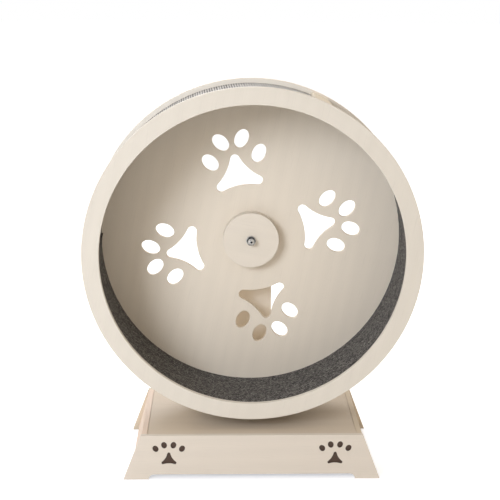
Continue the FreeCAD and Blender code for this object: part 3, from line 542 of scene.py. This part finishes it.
def wovenPolyester():
    material, tree, shader = addMaterial(
        "woven_polyester", {"IOR": 1.5, "Roughness": 0.85, "Sheen Weight": 0.2, "Sheen Roughness": 0.4})
    coords = addNode(tree, "ShaderNodeTexCoord")
    slanted = addNode(tree, "ShaderNodeMapping", {"Rotation": (0, 0, cloth["ribSlant"])},
                      {"Vector": coords.outputs["UV"]})
    ribs = addNode(tree, "ShaderNodeTexWave",
                   {"Scale": waveScale(cloth["ribSpacing"]), "Distortion": 1.2, "Detail Scale": 0.4},
                   {"Vector": slanted.outputs[0]}, bands_direction="X")
    breakSpace = addNode(tree, "ShaderNodeMapping",
                         {"Scale": (1 / cloth["ribSpacing"], 1 / cloth["breakLength"], 1)},
                         {"Vector": slanted.outputs[0]})
    breaks = addNode(tree, "ShaderNodeTexNoise", {"Scale": 0.8, "Detail": 2},
                     {"Vector": breakSpace.outputs[0]}, noise_dimensions="2D")
    yarns = addNode(tree, "ShaderNodeMath", links={0: ribs.outputs["Fac"], 1: breaks.outputs["Fac"]},
                    operation="ADD")
    yarns = addNode(tree, "ShaderNodeMapRange", {"From Min": 0.55, "From Max": 1.25},
                    {"Value": yarns.outputs[0]})
    colour = addNode(tree, "ShaderNodeMix", {6: linear(cloth["darkYarn"]), 7: linear(cloth["lightYarn"])},
                     {0: yarns.outputs[0]}, data_type="RGBA")
    relief = addNode(tree, "ShaderNodeBump", {"Strength": 0.5, "Distance": 0.001},
                     {"Height": ribs.outputs["Fac"]})
    tree.links.new(colour.outputs[2], shader.inputs["Base Color"])
    tree.links.new(relief.outputs[0], shader.inputs["Normal"])
    return material


wrap = {
    "jointDegrees": 65, "battenHalfDegrees": 3.0, "backGap": 0.0001,
    "thickness": 0.002, "thinnest": 0.0008, "edgeSlope": 0.001,
    "hem": 0.0012, "hemWidth": 0.012, "hemSlope": 0.003,
    "ripple": 0.0005, "rippleLength": 0.09, "rippleWidth": 0.04, "rippleSeed": 1.7, "segments": 360,
    "edgeSteps": (0.001, 0.003, 0.009, 0.012, 0.015, 0.021),
}


def makeWrap(name, node, jointDegrees, material):
    low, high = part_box(node)
    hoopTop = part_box("track_hoop_upper")[1].z
    back = hoopTop - wheelAxis.z + wrap["backGap"]
    start = jointDegrees + wrap["battenHalfDegrees"]
    end = jointDegrees + 180 - wrap["battenHalfDegrees"]
    length = math.radians(end - start) * (back + wrap["thickness"] / 2)
    wide = high.y - low.y

    def faceShape(along, across):
        side = min(across, wide - across, along, length - along)
        hem = wrap["hem"] * max(0, min(1, (wrap["hemWidth"] - side) / wrap["hemSlope"] + 0.5))
        spot = Vector((along / wrap["rippleLength"], across / wrap["rippleWidth"], wrap["rippleSeed"]))
        ripple = noise.noise(spot) * wrap["ripple"]
        full = wrap["thickness"] + hem + ripple
        return max(wrap["thinnest"], full * min(1, side / wrap["edgeSlope"] + 0.5))

    strip = {"back": back, "outward": 1, "start": start, "end": end, "length": length,
             "low": low.y + sideGap, "high": high.y - sideGap,
             "segments": wrap["segments"], "edgeSteps": wrap["edgeSteps"]}
    piece = bentStrip(name, strip, faceShape)
    fitToTrack(piece, node, material, (wide, length))


wovenCloth = wovenPolyester()
makeWrap("upper_wrap_cloth", "outer_wrap_upper", wrap["jointDegrees"], wovenCloth)
makeWrap("lower_wrap_cloth", "outer_wrap_lower", wrap["jointDegrees"] + 180, wovenCloth)

# Studio: pale floor and white room with a brighter backdrop, soft key from the left and weak fill from the
# right, a light high on each side and one behind
studio = {
    "floorRadius": 30, "floorSides": 96, "floorDrop": 0.0005,
    "floor": "#e6e4e0", "floorPale": "#eceae7", "floorPatch": 1 / 3,
    "glow": "#f5f8ff", "glowNear": 0.58, "glowFar": 0.76, "glowFrom": 0.8, "glowTo": 3.0,
    "world": "#fff3e4", "worldFront": 0.5, "worldBack": 0.62, "worldFrom": -0.3, "worldTo": 0.6,
}
softboxes = {  # degrees round from the front, elevation, distance, size, power, colour
    "key": (-36, 22, 4.4, 1.7, 99, "#ebf3ff"),
    "fill": (36, 14, 5.0, 2.8, 8, "#fff4e4"),
    "left": (-80, 42, 4.0, 2.0, 18, "#ffffff"),
    "right": (80, 42, 4.0, 2.0, 17, "#fff8ee"),
    "back": (-165, 40, 4.2, 2.2, 78, "#f6f9ff"),
}


def addSoftbox(name, degrees, elevation, distance, size, power, colour):
    light = bpy.data.lights.new(name, "AREA")
    light.energy = power
    light.size = size
    light.color = linear(colour)[:3]
    lamp = bpy.data.objects.new(name, light)
    around, up = math.radians(degrees), math.radians(elevation)
    towards = Vector((math.sin(around) * math.cos(up), -math.cos(around) * math.cos(up), math.sin(up)))
    lamp.location = wheelAxis + towards * distance
    lamp.rotation_euler = towards.to_track_quat("Z", "Y").to_euler()
    bpy.context.scene.collection.objects.link(lamp)


for softbox, settings in softboxes.items():
    addSoftbox(softbox + "_softbox", *settings)

world = bpy.data.worlds.new("white_room")
world.use_nodes = True
worldTree = world.node_tree
worldTree.nodes.clear()
lightPath = addNode(worldTree, "ShaderNodeLightPath")
seen = addNode(worldTree, "ShaderNodeBackground", {"Color": (1, 1, 1, 1), "Strength": 1.0})
direction = addNode(worldTree, "ShaderNodeTexCoord")
direction = addNode(worldTree, "ShaderNodeSeparateXYZ", links={0: direction.outputs["Generated"]})
backdrop = addNode(worldTree, "ShaderNodeMapRange",
                   {"From Min": studio["worldFrom"], "From Max": studio["worldTo"],
                    "To Min": studio["worldFront"], "To Max": studio["worldBack"]},
                   {"Value": direction.outputs["Y"]})
lighting = addNode(worldTree, "ShaderNodeBackground", {"Color": linear(studio["world"])},
                   {"Strength": backdrop.outputs[0]})
room = addNode(worldTree, "ShaderNodeMixShader",
               links={0: lightPath.outputs["Is Camera Ray"], 1: lighting.outputs[0], 2: seen.outputs[0]})
addNode(worldTree, "ShaderNodeOutputWorld", links={"Surface": room.outputs[0]})
bpy.context.scene.world = world

# Matt floor paint, rolled: an even pale grey. A glow that only the camera sees lifts it to the white of the
# room, less so near the wheel to keep its shadow
bpy.ops.mesh.primitive_circle_add(vertices=studio["floorSides"], radius=studio["floorRadius"],
                                  fill_type="NGON", location=(0, 0, -studio["floorDrop"]))
floor = bpy.context.object
floor.name = "studio_floor"
paint, paintTree, paintShader = addMaterial("floor_matt_paint",
                                            {"Roughness": 0.9, "Emission Color": linear(studio["glow"])})
paintCoords = addNode(paintTree, "ShaderNodeTexCoord")
paintPatches = addNode(paintTree, "ShaderNodeTexNoise", {"Scale": 1 / studio["floorPatch"]},
                       {"Vector": paintCoords.outputs["Object"]})
paintColour = addNode(paintTree, "ShaderNodeMix",
                      {6: linear(studio["floor"]), 7: linear(studio["floorPale"])},
                      {0: paintPatches.outputs["Fac"]}, data_type="RGBA")
paintSeen = addNode(paintTree, "ShaderNodeLightPath")
paintReach = addNode(paintTree, "ShaderNodeVectorMath", links={0: paintCoords.outputs["Object"]},
                     operation="LENGTH")
paintGlow = addNode(paintTree, "ShaderNodeMapRange",
                    {"From Min": studio["glowFrom"], "From Max": studio["glowTo"],
                     "To Min": studio["glowNear"], "To Max": studio["glowFar"]},
                    {"Value": paintReach.outputs["Value"]})
paintGlow = addNode(paintTree, "ShaderNodeMath",
                    links={0: paintSeen.outputs["Is Camera Ray"], 1: paintGlow.outputs[0]},
                    operation="MULTIPLY")
paintTree.links.new(paintColour.outputs[2], paintShader.inputs["Base Color"])
paintTree.links.new(paintGlow.outputs[0], paintShader.inputs["Emission Strength"])
floor.data.materials.append(paint)

# The photograph's camera: low, a little left of the axle, looking down 14 degrees
view = {"place": (-0.0951, -3.2626, 1.4888), "downDegrees": 14.30, "rightDegrees": 1.59, "rollDegrees": 0.4,
        "lens": 78.87, "sensor": 36}  # lens and sensor in millimetres
camera = bpy.data.objects.new("photo_camera", bpy.data.cameras.new("photo_camera"))
right = Matrix.Rotation(math.radians(-view["rightDegrees"]), 4, "Z")
down = Matrix.Rotation(math.radians(90 - view["downDegrees"]), 4, "X")
roll = Matrix.Rotation(math.radians(view["rollDegrees"]), 4, "Z")
camera.matrix_world = Matrix.Translation(view["place"]) @ right @ down @ roll
camera.data.lens = view["lens"]
camera.data.sensor_width = view["sensor"]
bpy.context.scene.collection.objects.link(camera)
bpy.context.scene.camera = camera
bpy.context.scene.view_settings.view_transform = "Standard"
print("studio and camera set")
